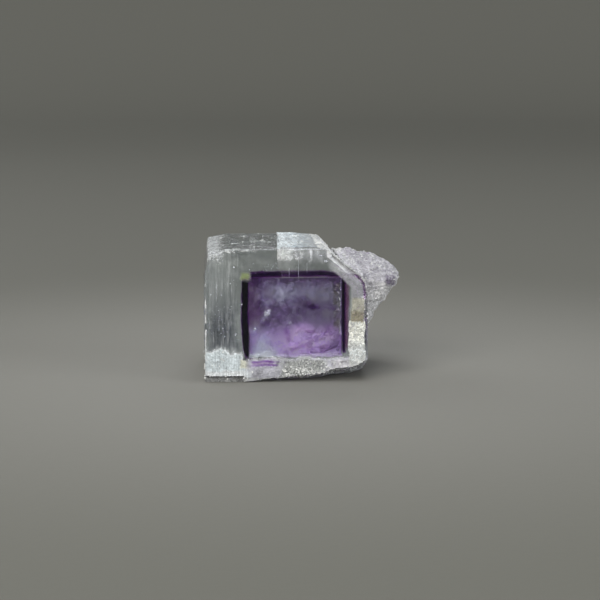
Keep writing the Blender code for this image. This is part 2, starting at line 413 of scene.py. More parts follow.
def rounded(points, triangles, weight, rounds, share=0.6):
    """Moves each point towards the middle of its neighbours, where weight is above 0."""
    ends = triangles[:, [0, 1, 1, 2, 2, 0]].reshape(-1, 2)
    ends = np.concatenate([ends, ends[:, ::-1]])
    count = np.bincount(ends[:, 0], minlength=len(points))[:, None]
    for _ in range(rounds):
        total = np.zeros_like(points)
        for axis in range(3):
            total[:, axis] = np.bincount(
                ends[:, 0], weights=points[ends[:, 1], axis], minlength=len(points)
            )
        points = points + (total / count - points) * weight[:, None] * share
    return points


def above_shoulder(points):
    """How far outside the sloping shoulder of the cube a point is, in millimetres."""
    x, y, z = points.T
    height = np.interp(
        x,
        [1.5, 2.4, 3.15, 3.92, 4.26, 4.42, 4.6],
        [9.42, 8.75, 8.05, 7.49, 6.99, 6.2, 2.0],
    )
    return np.maximum(z - height, x - 4.5)


def longest_edge(p):
    """How long an edge may be: less on the second crystal, the front and the violet lines."""
    coarse, less_on_second, less_on_front, on_lines = 0.17, 0.075, 0.07, 0.055
    near_front = ramp(p[:, 1], -4.6, -4.8)
    past = above_shoulder(p)
    lines = window(p[:, 0], -4.0, -1.6, 0.2) * window(p[:, 2], 0.95, 1.6, 0.1) * near_front
    size = coarse - less_on_second * ramp(past, 0.0, 0.3)
    size = size - less_on_front * near_front * ramp(past, 0.2, 0.0)
    return size + (on_lines - size) * lines


def crystal_mesh():
    """The crystal in small triangles, its second crystal rounded and blunt at the tip."""
    points, triangles = finer(*crystal_surface(), longest_edge)
    weight = ramp(above_shoulder(points), 0.35, 0.8) * ramp(points[:, 2], 1.5, 2.2)
    points = rounded(points, triangles, weight, 12)
    tip = window(points[:, 2], 6.5, 6.95, 0.75) * ramp(points[:, 0], 4.7, 6.2) * weight
    points[:, 0] += 0.2 * tip
    return points, triangles


def toned(tint, mask, colour):
    """The tint, turned towards a colour as far as the mask says."""
    return tint + (np.asarray(colour) - tint) * mask[:, None]


class Coat:
    """What the crystal's material reads at each point, under these names."""

    def __init__(self, count):
        self.matt, self.haze, self.gritty = np.zeros((3, count))
        self.tint = np.tile(CLEAR_TINT, (count, 1))

    def lay(self, mask, matt, colour=None, milky=0.0, grit=0.0):
        """Lays a patch over what is there, as far as its mask says."""
        self.matt = np.maximum(self.matt, mask * matt)
        self.gritty = np.maximum(self.gritty, mask * grit)
        self.haze = np.maximum(self.haze, mask * milky)
        if colour is not None:
            self.tint = toned(self.tint, mask, colour)

    def dim(self, mask, share):
        """Takes a share of the tint away, or one share for each of red, green and blue."""
        self.tint = self.tint * (1 - mask[:, None] * np.asarray(share))


def crystal():
    """The clear crystal: its relief, and the painted values that its material reads."""
    points, triangles = crystal_mesh()
    normal = outward(points, triangles)
    coat = Coat(len(points))
    lay, dim = coat.lay, coat.dim

    def noise(size, seed, octaves=3):
        return clouds(points, size, seed, octaves)

    def patches(size, seed, low, high, octaves=3):
        """Uneven patches: 0 where the noise is at low, 1 where it is at high."""
        return ramp(noise(size, seed, octaves), low, high)

    def veins(size, seed, width, core, octaves=3):
        """Winding veins, along the places where the noise passes through 0."""
        return ramp(abs(noise(size, seed, octaves)), width, core)

    x, y, z = points.T
    nx, ny, nz = normal.T
    # The same places, nudged about so that what is drawn with them has uneven edges.
    wander = 0.12 * noise(0.8, 5)
    fine = 0.08 * noise(0.35, 6)
    xw = x + 1.4 * wander + fine
    zw = z + 0.17 * noise(0.8, 9) + fine
    xg = xw + 0.5 * noise(0.7, 65)

    # The cube's faces.
    front = ramp(y, -4.7, -4.88) * ramp(ny, -0.5, -0.8)
    top = ramp(z, 9.2, 9.34) * ramp(nz, 0.5, 0.8)
    back = ramp(y, 4.7, 4.88)
    left = ramp(x, -6.7, -6.9)
    right = ramp(x, 4.1, 4.35) * ramp(x, 4.7, 4.5) * (1 - front)
    foot = np.maximum(ramp(nz, -0.2, -0.5), ramp(z, 0.7, 0.3) * (1 - front))

    # The second crystal, the seam round it, and the shoulder it grew into.
    past = above_shoulder(points)
    second = ramp(past, 0.1, 0.3) * ramp(z, 1.2, 1.9)
    seam = window(past, -0.1, 0.4, 0.12) * (1 - front)
    seam = seam * ramp(x, 1.4, 1.9) * ramp(z, 3.5, 5.0)
    slope = ramp(nx, 0.25, 0.45) * ramp(nz, 0.15, 0.35)
    shoulder = slope * (1 - second) * ramp(x, 0.5, 1.4)
    crest = window(x, 1.05, 1.75, 0.25) * ramp(z, 9.0, 9.2) * (1 - front)
    lip = window(past, -0.12, 0.1, 0.08) * front
    lip = lip * ramp(x, 1.4, 1.9) * ramp(z, 7.2, 7.8)

    # Frost: flame-topped at the lower left, square-edged at the lower right.
    flame = 0.45 * noise((0.3, 1.0, 0.9), 57) + 0.25 * ramp(xw, -5.4, -6.2)
    side = xw + 0.22 * noise(0.45, 58)
    left_frost = np.maximum(
        front * ramp(side, -4.25, -4.5) * ramp(zw - flame, 2.45, 1.8),
        front * ramp(side, -3.5, -4.4) * ramp(zw, 1.45, 1.15),
    )
    low_right = front * window(xw, 3.16, 4.22, 0.07)
    right_frost = low_right * ramp(zw, 4.3, 4.22) * ramp(zw, 1.0, 1.5)
    blots = noise(0.7, 36, 4) + 0.15

    # Along the cube's own edges the surface is painted white and matt: a painted highlight where
    # the edges catch the light.
    to_faces = [abs(x - LEFT), np.minimum(abs(y - FRONT), abs(y - BACK)), abs(z - TOP)]
    to_edge = np.sort(np.stack(to_faces), axis=0)[1]
    quiet = ramp(y, -4.6, -4.8) * ramp(z, 9.0, 9.2) * ramp(x, -3.6, -3.0)
    edge = ramp(to_edge, 0.16, 0.05) * ramp(x, 1.6, 1.2)
    edge = edge * patches(0.5, 21, -0.5, 0.3) * (1 - 0.7 * quiet)
    lay(edge, 0.75, (0.72, 0.74, 0.75))

    # The top face is mottled, with a painted highlight along its front edge: a broken bright line.
    lay(top, 0.4, (0.33, 0.36, 0.36), grit=1.0)
    lay(top * window(x, -1.5, 1.8, 0.1), 0.6, (0.64, 0.68, 0.72), milky=0.3)
    lay(top * ramp(blots, 0.0, 0.6), 0.62, (0.66, 0.7, 0.71))
    line = top * ramp(y, -4.0, -4.7) * patches(0.6, 22, -0.2, 0.5)
    lay(line * ramp(x, -2.4, -3.4), 0.85, (0.74, 0.77, 0.77))
    lay(back * patches(2.2, 23, -0.3, 0.6), 0.35, (0.66, 0.68, 0.68))

    # A painted reflection of bright light, laid as a white frosted patch on the top and down the
    # front; it ends at a straight plane on its left.
    patch = ramp(x - 0.034 * y, -1.79, -1.73) * ramp(xw, 1.45, -0.4)
    bands = patches((0.3, 2.5, 1.5), 24, -0.7, 0.5)
    reflection_on_top = patch * top * (0.6 + 0.4 * bands) * (1 - 0.5 * ramp(xw, -0.3, 1.0))
    lay(reflection_on_top, 1.0, (0.88, 0.96, 1.0), milky=0.5)
    # Painted shade: the patch on the top is darker towards its right.
    painted_patch_shade = patch * top * patches((0.5, 1.2, 1.0), 71, -0.2, 0.4, 4)
    dim(painted_patch_shade * ramp(x, -1.5, -0.9), (0.42, 0.38, 0.34))

    lower_edge = 8.6 + 0.35 * ramp(xw, -0.6, 0.5)
    holes = 1 - patches((0.4, 1.0, 0.9), 69, 0.45, -0.25, 4)
    fade = patch * front * (1 - 0.6 * ramp(xw, -1.0, 0.8))
    fade = fade * (1 - ramp(xw, -1.2, -0.7) * holes)
    down = fade * ramp(zw - lower_edge, -0.1, 0.25)
    lay(down, 0.62, (0.74, 0.76, 0.73), milky=0.45, grit=0.5)
    lay(fade * ramp(z, 7.6, 9.0) * (0.5 + 0.5 * bands), 0.0, (0.86, 0.86, 0.92), milky=0.22)
    lay(window(xw, 0.33, 0.43, 0.1) * front * ramp(zw, 8.2, 8.9), 0.45, milky=0.4)
    # A pale smear under it carries the painted reflection further down the front.
    smear = front * window(x, -1.2, 1.3, 0.35) * ramp(zw, 8.15, 9.2)
    lay(smear, 0.0, (0.8, 0.82, 0.9))
    lay(smear * (0.5 + 0.5 * noise((0.16, 1.0, 1.6), 73)), 0.0, milky=0.42)

    # The frosted top-left corner, brightest along its edges, and the haze round it.
    far = np.hypot(x + 6.7, 0.8 * (z - 9.1)) + 6 * wander
    lay(front * ramp(far, 3.2, 0.3) * (0.6 + 0.4 * blots), 0.0, (0.82, 0.87, 0.9), milky=0.12)
    brow = front * ramp(zw, 8.95, 9.25) * ramp(xw, -2.4, -4.2)
    lay(brow * patches(0.5, 70, -0.4, 0.3), 0.55, (0.66, 0.69, 0.7), milky=0.15)
    corner = ramp(xw, -5.2, -6.1) * ramp(zw, 8.0, 9.1)
    lay(corner, 0.6, (0.68, 0.71, 0.73), milky=0.1, grit=0.5)

    # The broken band along the bottom of the front, granular in its middle.
    band_top = 1.8 + 0.12 * ramp(x, 1.5, 3.0)
    clear = 1 - window(xw, -4.4, -3.7, 0.12) * ramp(zw, 1.35, 1.6)
    band = front * ramp(zw, band_top + 0.12, band_top - 0.25) * clear
    lay(band, 0.55, (0.38, 0.38, 0.43), milky=0.38)
    granular = front * ramp(zw, 1.75, 1.4) * window(xg, -1.2, 1.0, 0.7)
    lay(granular, 0.62, (0.56, 0.58, 0.57), grit=1.0)
    lay(front * window(zw, 0.9, 1.5, 0.2) * window(xw, 2.2, 3.4, 0.5), 0.6, (0.5, 0.49, 0.53))
    broken = front * ramp(zw, 1.75, 1.5) * ramp(x, -4.0, -3.4) * ramp(x, 3.4, 2.9)
    dim(broken * veins((0.55, 0.55, 0.35), 66, 0.12, 0.02), 0.45)
    dim(broken * patches(0.4, 67, 0.1, 0.5, 2) * ramp(x, -2.0, -1.4), -0.35)

    # The frosted foot at the left, the frosted rectangle at the right, and the dark ledge.
    lay(left_frost, 0.88, (0.5, 0.56, 0.59), milky=0.35)
    dim(left_frost * patches(0.32, 37, 0.35, 0.6) * ramp(z, 1.3, 0.9), 0.7)
    lay(left_frost * window(zw, 0.5, 0.75, 0.12), 0.95, (0.6, 0.63, 0.65))
    lay(right_frost, 0.9, (0.96, 0.97, 0.9), milky=0.3, grit=0.6)
    lay(right_frost * ramp(z, 3.2, 2.2) * 0.8, 0.9, (0.74, 0.79, 0.82))
    olive = window(xw, -4.5, -3.9, 0.15) * window(zw, 1.05, 1.5, 0.15)
    lay(front * olive, 0.5, (0.5, 0.51, 0.43), milky=0.3)
    lay(foot, 0.6, (0.4, 0.4, 0.42), milky=0.2, grit=0.35)
    ledge = np.maximum(
        ramp(z, 0.44, 0.36) * ramp(x, -4.0, -4.2),
        0.8 * ramp(z, 0.36, 0.28) * ramp(xw, -1.4, -2.4),
    )
    lay(ledge, 0.0, (0.29, 0.295, 0.295))
    crack = window(zw, 0.34, 0.42, 0.05) * ramp(xw, -1.6, -2.6)
    dim(crack * (0.6 + 0.4 * noise(0.5, 60)), 0.6)

    # Two violet lines in a paler lilac patch, low on the front.
    lilac = front * window(xw, -3.8, -2.2, 0.4) * window(zw, 1.1, 1.55, 0.25)
    lay(lilac, 0.6, (0.39, 0.38, 0.46), milky=0.4)
    lay(front * window(xw, -3.4, -2.4, 0.4) * window(zw, 1.25, 1.45, 0.12), 0.6, (0.3, 0.23, 0.38))
    for height, end, seed in ((1.46, -1.95, 38), (1.2, -2.05, 39)):
        wobble = 0.04 * cloud(points, 0.7, seed)
        line = front * window(z + wobble, height - 0.03, height + 0.04, 0.075)
        line = line * window(x, -3.6, end, 0.3) * ramp(cloud(points, 0.4, seed + 2), -1.1, 0.0)
        uneven = 0.8 + 0.2 * cloud(points, 0.3, seed + 4)
        lay(line * uneven, 0.8, (0.15, 0.06, 0.27))

    # The shoulder, and the silvery second crystal with a dark blotch on its tip.
    lay(shoulder, 0.8, (0.44, 0.44, 0.49), milky=0.45, grit=0.3)
    bright = shoulder * veins((0.9, 1.4, 0.9), 72, 0.3, 0.05, 4)
    lay(bright, 0.9, (0.78, 0.79, 0.84), milky=0.5, grit=0.4)
    combed = patches((0.9, 0.9, 0.16), 59, -0.5, 0.5)
    silver = np.array([0.42, 0.41, 0.46]) + 0.22 * combed[:, None]
    lay(second, 0.74, silver, milky=0.4, grit=0.6)
    # Painted light: the second crystal's lower part and its downward faces are painted nearly
    # white, for light bounced up from below.
    painted_bounce_light = second * np.maximum(ramp(z, 6.8, 5.0), ramp(nz, 0.2, -0.3))
    lay(painted_bounce_light, 0.82, (1.0, 0.99, 1.0))
    lay(seam, 0.8, (0.6, 0.59, 0.65), milky=0.4, grit=0.5)
    lay(seam * patches(0.6, 33, -0.35, 0.35), 0.95, (0.7, 0.7, 0.74))
    lay(crest * patches(0.35, 74, 0.0, 0.5), 0.85, (0.72, 0.74, 0.76))
    blotch = window(xw, 6.08, 6.58, 0.25) * window(zw, 6.4, 7.0, 0.3)
    blotch = second * blotch * ramp(y + 2 * wander, 1.0, -0.2)
    lay(blotch * patches(0.5, 31, -0.9, 0.1), 0.0, (0.22, 0.19, 0.27))
    veined = second * veins((1.8, 1.8, 0.9), 63, 0.1, 0.0) * ramp(y, -1.0, 1.0)
    dim(veined, (0.22, 0.28, 0.16))

    # The right side of the cube, unevenly frosted.
    uneven = right * (0.35 + 0.65 * patches((1.6, 2.4, 1.2), 53, -0.5, 0.5, 4))
    lay(uneven, 0.62, (0.5, 0.49, 0.54), milky=0.24, grit=0.5)
    dim(right * patches(0.8, 64, -0.1, 0.4, 4), 0.22)

    # A smooth grey band just inside the shoulder's front edge, and its broken pale lip.
    inner = window(past, -1.15, 0.1, 0.18) * front * ramp(x, 1.4, 2.3) * ramp(z, 5.5, 6.2)
    lay(inner, 0.0, (0.52, 0.51, 0.57), milky=0.34)
    lay(lip * patches(0.35, 40, -0.4, 0.3), 0.8, (0.78, 0.78, 0.82), grit=0.5)
    rim = window(past, -0.5, 0.2, 0.12) * ramp(y, -4.2, -4.55)
    rim = rim * ramp(x, 1.3, 1.8) * ramp(z, 7.45, 7.8)
    pale = 0.5 + 0.14 * noise(0.4, 75)
    lay(rim, 0.5, pale[:, None] + [0.0, 0.0, 0.05], milky=0.85, grit=0.3)

    # A thin haze over the left of the front face, and smoky patches above the square.
    lay(front * ramp(x, -4.4, -6.2) * ramp(z, 3.0, 8.0), 0.0, milky=0.05)
    smoky = front * ramp(z, 7.55, 8.1) * patches(1.2, 52, -0.2, 0.6, 4)
    lay(smoky, 0.0, (0.8, 0.84, 0.84), milky=0.09)
    murky = patches(1.0, 61, -0.1, 0.5, 4) * window(x, -3.6, 0.5, 0.8)
    dim(front * ramp(z, 7.4, 7.9) * murky, 0.16)

    # Green and yellow stains at the corners of the violet square.
    green = window(xw, -4.35, -3.95, 0.3) * window(zw, 7.35, 7.65, 0.3) * front
    lay(green, 0.0, (0.5, 0.6, 0.26), milky=0.2)
    yellow = window(xw, 3.35, 4.05, 0.2) * window(zw, 4.3, 5.8, 0.2) * front
    lay(yellow, 0.16, (0.55, 0.54, 0.45), milky=0.4, grit=0.3)
    lay(yellow * ramp(zw, 5.2, 4.9), 0.0, (0.36, 0.33, 0.24), milky=0.3)

    # Relief: ridges on the second crystal, grains where it is matt, and the shoulder's bevel.
    ridge_spacing, bevel = 0.36, 0.3
    rings = np.hypot(x - 6.5, z - 14.0) + 0.25 * y + 0.5 * noise(1.1, 41)
    ridges = np.sin(rings * 2 * math.pi / ridge_spacing) * (0.6 + 0.4 * noise(0.9, 43))
    small = noise(0.26, 45, 2)
    grit = cloud(points, 0.5, 47)
    rise = second * (0.04 * ridges + 0.06 * small + 0.03 * grit - 0.04)
    grained = ramp(coat.matt, 0.35, 0.9) * (1 - second)
    rise += grained * (0.025 * small + 0.015 * grit - 0.015)
    rise += foot * 0.03 * grit
    on_floor = ramp(z, 0.08, 0.02)
    moved = points + normal * (rise * (1 - on_floor))[:, None]
    sloping = bevel * front * ramp(past, -0.8, 0.0)
    moved[:, 1] += sloping * ramp(x, 1.7, 2.2) * ramp(z, 5.2, 6.2)
    # It stays inside the solid's own box.
    moved = np.clip(moved, *(np.array(corner) / MM for corner in cad_box))

    # Where tiny cubes grow, and where the upright growth lines show.
    grains = [
        right_frost * (0.6 + 0.4 * ramp(z, 3.0, 2.0)),
        front * ramp(zw, 1.65, 1.3) * window(xg, -1.0, 0.8, 0.7),
        0.3 * front * ramp(zw, 1.7, 1.4) * window(xw, 1.0, 4.0, 0.3),
        0.1 * second + 0.3 * seam + 0.1 * shoulder,
        0.035 * top * ramp(blots, 0.1, 0.6),
        0.8 * lip + 0.4 * crest + 0.06 * left_frost + 0.1 * foot,
    ]
    grains = np.maximum.reduce(grains) * ramp(clouds(moved, 0.7, 51), -0.7, 0.4)
    above_foot = ramp(z, 1.8, 2.6)
    striae = [
        front * ramp(x, -4.35, -5.0) * above_foot,
        0.7 * left_frost,
        0.35 * front * ramp(z, 7.6, 8.2),
        0.5 * np.maximum(left, back) * above_foot,
    ]

    obj = mesh_object("crystal", moved, triangles, clear_fluorite(), crease=28)
    for name, values in vars(coat).items():
        paint(obj, name, values)
    paint(obj, "grains", grains * ramp(z, 0.1, 0.2))
    paint(obj, "striae", np.maximum.reduce(striae))
    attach(obj, "root")
    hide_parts("fluorite_crystal")
    return obj


# ---- colour inside


def joined(name, shapes, material, crease=35):
    """Several closed shapes made into one piece."""
    points, triangles, count = [], [], 0
    for p, t in shapes:
        points.append(p)
        triangles.append(t + count)
        count += len(p)
    obj = mesh_object(name, np.concatenate(points), np.concatenate(triangles), material, crease)
    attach(obj, "root")
    return obj


def curtain(path, depth, thick, seed, wave=0.4, widths=None):
    """A thin closed sheet that follows a path of (x, z) and runs back between two depths."""
    cell, step = 0.1, 0.05
    path = np.array(path, float)
    length = np.concatenate([[0], np.cumsum(np.linalg.norm(np.diff(path, axis=0), axis=1))])
    points, triangles = slab((0.0, depth[0], -thick / 2), (length[-1], depth[1], thick / 2), cell)
    s, _, off = points.T

    def on_path(distance):
        return [np.interp(distance, length, path[:, n]) for n in (0, 1)]

    ahead = on_path(np.clip(s + step, 0, length[-1]))
    behind = on_path(np.clip(s - step, 0, length[-1]))
    along = [a - b for a, b in zip(ahead, behind)]
    size = np.hypot(*along)
    swell = wave * (clouds(points, 0.8, seed) + 0.6 * clouds(points, 0.22, seed + 2, 2))
    rough = off * np.clip(1.0 + swell, 0.15, 2.0)
    if widths is not None:
        rough = rough * np.interp(s, length, widths)
    rough = rough + 0.15 * thick * cloud(points, 1.5, seed + 1)
    middle = on_path(s)
    x = middle[0] - along[1] / size * rough
    z = middle[1] + along[0] / size * rough
    return np.stack([x, points[:, 1], z], 1), triangles


def upright(x, z):
    """The points (x, z) on the plane through the middle of the cube."""
    return np.stack([x, np.zeros_like(x), z], 1)


def wandering(x, z, size, reach, seed):
    """The same places nudged about by noise, so that drawn shapes get uneven edges."""
    flat = upright(x, z)
    return x + reach * clouds(flat, size, seed, 4), z + reach * clouds(flat, size, seed + 3, 4)


def near_path(x, z, path):
    """The distance from each (x, z) to a bent line."""
    best = np.full(len(x), 99.0)
    for (ax, az), (bx, bz) in zip(path[:-1], path[1:]):
        dx, dz = bx - ax, bz - az
        t = np.clip(((x - ax) * dx + (z - az) * dz) / (dx * dx + dz * dz), 0.0, 1.0)
        best = np.minimum(best, np.hypot(x - ax - t * dx, z - az - t * dz))
    return best


def sheet(depth, across, up, cell, thickness, swell, seed):
    """A closed upright sheet; thickness(x, z) says how thick it is at each place."""
    points, triangles = slab(
        (across[0], depth - 0.01, up[0]), (across[1], depth + 0.01, up[1]), cell
    )
    side = np.sign(points[:, 1] - depth)
    points[:, 1] = depth + swell * clouds(points * [1, 0, 1], 2.4, seed, 3)
    points[:, 1] += side * thickness(points[:, 0], points[:, 2]) / 2
    return points, triangles


def even(thick):
    """The same thickness everywhere."""
    return lambda x, z: np.full(len(x), thick)


def painted_shade_thickness(x, z):
    """A sheet of painted shade in the lower left of the cube: thickest low down, thinning to its
    edges.
    """
    u, v = wandering(x, z, 1.0, 0.35, 241)
    reach = np.minimum.reduce([u + 6.85, -4.45 - u, v - 1.7])
    lumps = 0.5 + 0.5 * clouds(upright(x, z), (0.7, 1.0, 1.5), 243)
    return 0.02 + 1.35 * ramp(reach, 0.0, 0.6) * ramp(v, 6.6, 2.6) * (0.5 + 0.5 * lumps)


def inside_colours():
    """The growth zones: the sides of the violet square seen edge on, and what lies round it, with a
    grey sheet of painted shade in the lower left.
    """
    left_side = [(-3.62, 1.4), (-3.8, 1.36), (-3.98, 1.48), (-4.08, 1.85)]
    left_side += [(-4.12, 3.2), (-4.14, 6.88)]
    left_widths = (0.15, 0.3, 0.5, 0.85, 1.1, 0.85)
    right_side = [(2.86, 1.82), (2.87, 4.0), (2.88, 6.98)]
    top_left = [(-3.74, 7.24), (-2.6, 7.29), (-1.55, 7.33)]
    top_right = [(-1.5, 7.31), (-0.2, 7.35), (1.2, 7.33), (2.55, 7.24)]
    corner = [(3.5, 7.55), (3.8, 7.33), (4.05, 6.95), (4.18, 6.3), (4.2, 5.8)]
    magenta_side = [(3.12, 2.0), (3.1, 4.3), (3.12, 6.6)]
    edge_on = [
        curtain(left_side, (-3.2, 0.6), 0.44, 51, wave=0.45, widths=left_widths),
        curtain(right_side, (-3.2, 0.6), 0.17, 52),
        curtain(top_left, (-3.2, 0.5), 0.2, 53, wave=0.8),
        curtain(top_right, (-3.0, 0.6), 0.17, 50, wave=0.9),
        curtain(corner, (-4.85, -3.9), 0.1, 49, wave=0.5),
    ]
    behind = sheet(0.57, (-3.85, 2.74), (1.55, 7.32), 0.2, even(0.09), 0.08, 56)
    magenta = curtain(magenta_side, (-3.1, 0.4), 0.2, 59, wave=1.3)
    # A grey absorbing sheet of painted shade over the lower left of the cube.
    smoky = sheet(-1.0, (-6.9, -4.4), (1.6, 6.8), 0.14, painted_shade_thickness, 0.1, 245)
    for name, shapes, look, colour, per_metre in (
        ("violet_zones_edge_on", edge_on, "violet_deep", (0.58, 0.04, 0.72), 3800.0),
        ("violet_zone_behind", [behind], "violet_thin", (0.62, 0.16, 0.7), 2000.0),
        ("magenta_side_zone", [magenta], "magenta_faint", (0.74, 0.34, 0.7), 700.0),
        ("painted_shade_corner", [smoky], "painted_shade_grey", (0.42, 0.44, 0.52), 2100.0),
    ):
        joined(name, shapes, absorbing_inside(look, colour, per_metre))


def cloudy(name, violet):
    """Cloudy matter in a sheet: "veil" says how much there is and "tone" its colour."""
    n = Nodes(name, INSIDE_IOR)
    if violet:
        n.absorb((0.55, 0.24, 0.68), 2700.0)
    broad = n.noise(1.2, detail=7.0, rough=0.72, warp=0.7)
    fine = n.noise(4.5, detail=6.0, rough=0.75, warp=0.4)
    dots = n.noise(15.0, detail=2.0, rough=0.7)
    amount = n.times(n.attribute("veil"), n.span(broad, 0.32, 0.62, 0.35, 1.35))
    amount = n.times(amount, n.span(fine, 0.34, 0.64, 0.6, 1.3))
    specks = n.times(n.span(dots, 0.66, 0.74, 0.0, 0.5), n.span(broad, 0.42, 0.6))
    amount = n.plus(amount, specks, clamp=True)
    tone = n.attribute("tone", colour=True)
    body = n.mix(n.span(fine, 0.4, 0.72, 0.0, 0.5), tone, (0.97, 0.95, 1.0, 1.0))
    body = n.shaded(body, n.span(fine, 0.25, 0.52, 0.72, 1.0))
    return n.finish(
        base_color=n.mix(n.span(amount, 0.0, 0.15), WHITE, body),
        roughness=0.3,
        transmission_weight=n.minus(1.0, n.times(amount, 0.97)),
    )


def veil_thickness(x, z):
    """The front violet zone: a thin veil, thicker in smoky patches and curling wisps."""
    flat = upright(x, z)
    u, v = wandering(x, z, 0.9, 0.35, 201)
    s, t = wandering(x, z, 0.45, 0.12, 207)
    lumps = 0.5 + 0.5 * clouds(flat, 0.8, 211, 5)
    mottle = ramp(clouds(flat, 0.34, 213, 4), -0.7, 0.7)
    thick = 0.03 + 0.07 * lumps * mottle * 2.0
    thick += 0.56 * window(u, -4.4, -3.2, 0.45) * ramp(v, 3.6, 4.6) * (0.3 + lumps + 0.5 * mottle)
    thick += 0.42 * ramp(v, 6.3, 7.2) * (lumps + 0.6 * mottle)
    curdy = 1.6 * lumps * mottle
    thick += 0.42 * window(u, -2.9, -0.6, 0.6) * window(v, 4.1, 5.5, 0.5) * curdy
    thick += 0.34 * window(u, -0.4, 2.6, 0.4) * window(v, 4.5, 5.3, 0.4) * curdy
    thick += 0.34 * ramp(np.hypot(u - 1.41, v - 3.51), 0.6, 0.0) * (0.2 + lumps * mottle * 2.0)
    thick += 0.22 * window(u, 1.7, 2.8, 0.4) * window(v, 2.0, 4.2, 0.5) * curdy
    broken = 0.15 + 1.3 * ramp(clouds(flat, 0.5, 215, 3), -0.5, 0.6)
    curdled = ramp(clouds(flat, 0.42, 217, 4), -0.05, 0.65)
    thick *= 1.0 - 0.5 * ramp(v, 4.0, 3.0)
    thick += 0.26 * ramp(v, 4.0, 3.2) * ramp(u, -3.4, -2.0) * curdled
    low = 1.0 - 0.3 * ramp(z, 4.2, 3.6)
    wisps = [
        ([(-1.25, 5.57), (-0.27, 5.57), (0.15, 5.43)], 0.12, 0.3),
        ([(0.02, 5.6), (0.3, 5.36), (0.57, 5.14)], 0.2, 0.55),
        ([(0.57, 5.14), (1.27, 5.07), (2.04, 5.0), (2.6, 5.02)], 0.08, 0.4),
        ([(-0.8, 5.9), (-0.2, 5.75), (0.1, 5.5)], 0.08, 0.2),
        ([(-2.2, 5.2), (-1.5, 5.0), (-0.9, 5.2)], 0.16, 0.2),
        ([(-1.25, 3.51), (-1.11, 2.81), (-1.38, 1.96)], 0.13, 0.36),
        ([(-0.2, 3.6), (0.5, 3.3), (1.1, 3.45), (1.7, 3.2)], 0.12, 0.22),
        ([(-1.11, 2.81), (-0.6, 2.5), (-0.3, 2.6)], 0.07, 0.2),
        ([(-0.83, 2.1), (0.08, 2.4), (0.99, 2.12), (1.83, 2.36)], 0.12, 0.42),
        ([(0.08, 2.4), (0.5, 2.75), (0.9, 2.7)], 0.07, 0.24),
        ([(-0.3, 1.95), (0.6, 1.85), (1.6, 2.0), (2.3, 2.3)], 0.06, 0.24),
    ]
    for path, width, most in wisps:
        thick += 1.5 * low * most * np.exp(-((near_path(s, t, path) / width) ** 2)) * broken
    least = 0.02
    rim = np.minimum(SQUARE_X[1] - x, z - SQUARE_Z[0])
    return least + (thick - least) * ramp(rim, 0.0, 0.12)


def cloudy_piece(name, surface, material, veil, tone):
    """A sheet with what its cloudy material reads painted on it."""
    obj = mesh_object(name, *surface, material, crease=40)
    paint(obj, "veil", veil)
    paint(obj, "tone", tone)
    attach(obj, "root")


def violet_veil():
    """The front violet zone, with pale smears on it."""
    points, triangles = sheet(-3.15, SQUARE_X, SQUARE_Z, 0.075, veil_thickness, 0.1, 221)
    x, z = points[:, 0], points[:, 2]
    flat = points * [1, 0, 1]
    lumps = 0.5 + 0.5 * clouds(flat, 0.7, 223, 5)
    mottle = ramp(clouds(flat, 0.3, 219, 4), -0.6, 0.6)
    edge = 0.04 * clouds(flat, 0.4, 227)
    u, v = wandering(x, z, 0.9, 0.4, 225)
    s, t = wandering(x, z, 0.45, 0.12, 226)
    a, b = wandering(x, z, 0.7, 0.75, 262)

    # Smears across the top, a pale spot, and the pale patch at the lower left.
    veil = 0.16 * window(u, -2.8, -0.8, 0.7) * window(v, 5.4, 6.8, 0.5) * lumps * (0.5 + mottle)
    veil += 0.16 * window(u, -1.6, 2.3, 0.5) * window(v, 5.6, 6.8, 0.4) * lumps * (0.4 + mottle)
    veil += 0.4 * ramp(np.hypot(s + 2.57, 0.8 * (t - 4.75)), 0.4, 0.0) * lumps
    patch = ramp(np.hypot((a + 2.75) / 1.25, (b - 2.15) / 1.45), 1.0, 0.1)
    veil += 0.75 * patch * (0.3 + lumps * mottle)
    veil += 0.25 * ramp(v, 2.2, 1.6) * (0.4 + mottle)

    # Two streaks, and spots low down.
    streak = near_path(s, t, [(-2.6, 4.7), (-3.2, 3.9), (-3.65, 3.1)])
    veil += 0.12 * ramp(streak, 0.25, 0.0) * (0.4 + mottle)
    streak = near_path(s, t, [(-2.0, 2.1), (-1.0, 2.5), (0.0, 3.0), (1.2, 3.1)])
    veil += 0.35 * ramp(streak, 0.3, 0.0) * lumps * (0.4 + mottle)
    spots = ramp(clouds(flat, 0.32, 229, 3), 0.15, 0.65)
    veil += 0.35 * spots * ramp(v, 3.9, 3.0) * (0.4 + 0.6 * lumps)

    # Pale lines along its right and lower edges.
    broken = ramp(clouds(flat, 0.5, 228, 3), -0.6, 0.4)
    veil += 0.45 * broken * window(x + edge, 2.53, 2.57, 0.06) * window(z, 1.8, 6.85, 0.3)
    veil += 0.3 * mottle * lumps * window(x + edge, 2.15, 2.45, 0.2) * window(v, 3.0, 6.4, 0.6)
    veil += 0.85 * window(z + edge, 1.6, 1.74, 0.08) * window(x, -3.7, 2.5, 0.2)

    tone = np.tile([0.78, 0.78, 0.92], (len(points), 1))
    tone = toned(tone, ramp(v, 3.9, 3.0) * ramp(a, -3.2, -1.2), (0.84, 0.69, 1.0))
    tone = toned(tone, 0.8 * ramp(b, 3.3, 2.0) * ramp(a, -1.4, -3.0), (0.86, 0.91, 0.94))
    olive = window(x + edge, 2.1, 2.47, 0.12) * ramp(z, 2.5, 3.5)
    tone = toned(tone, olive, (0.42, 0.42, 0.33))
    veil = np.clip(veil, 0.0, 1.0)
    surface = points, triangles
    cloudy_piece("violet_veil_front", surface, cloudy("violet_veil", True), veil, tone)


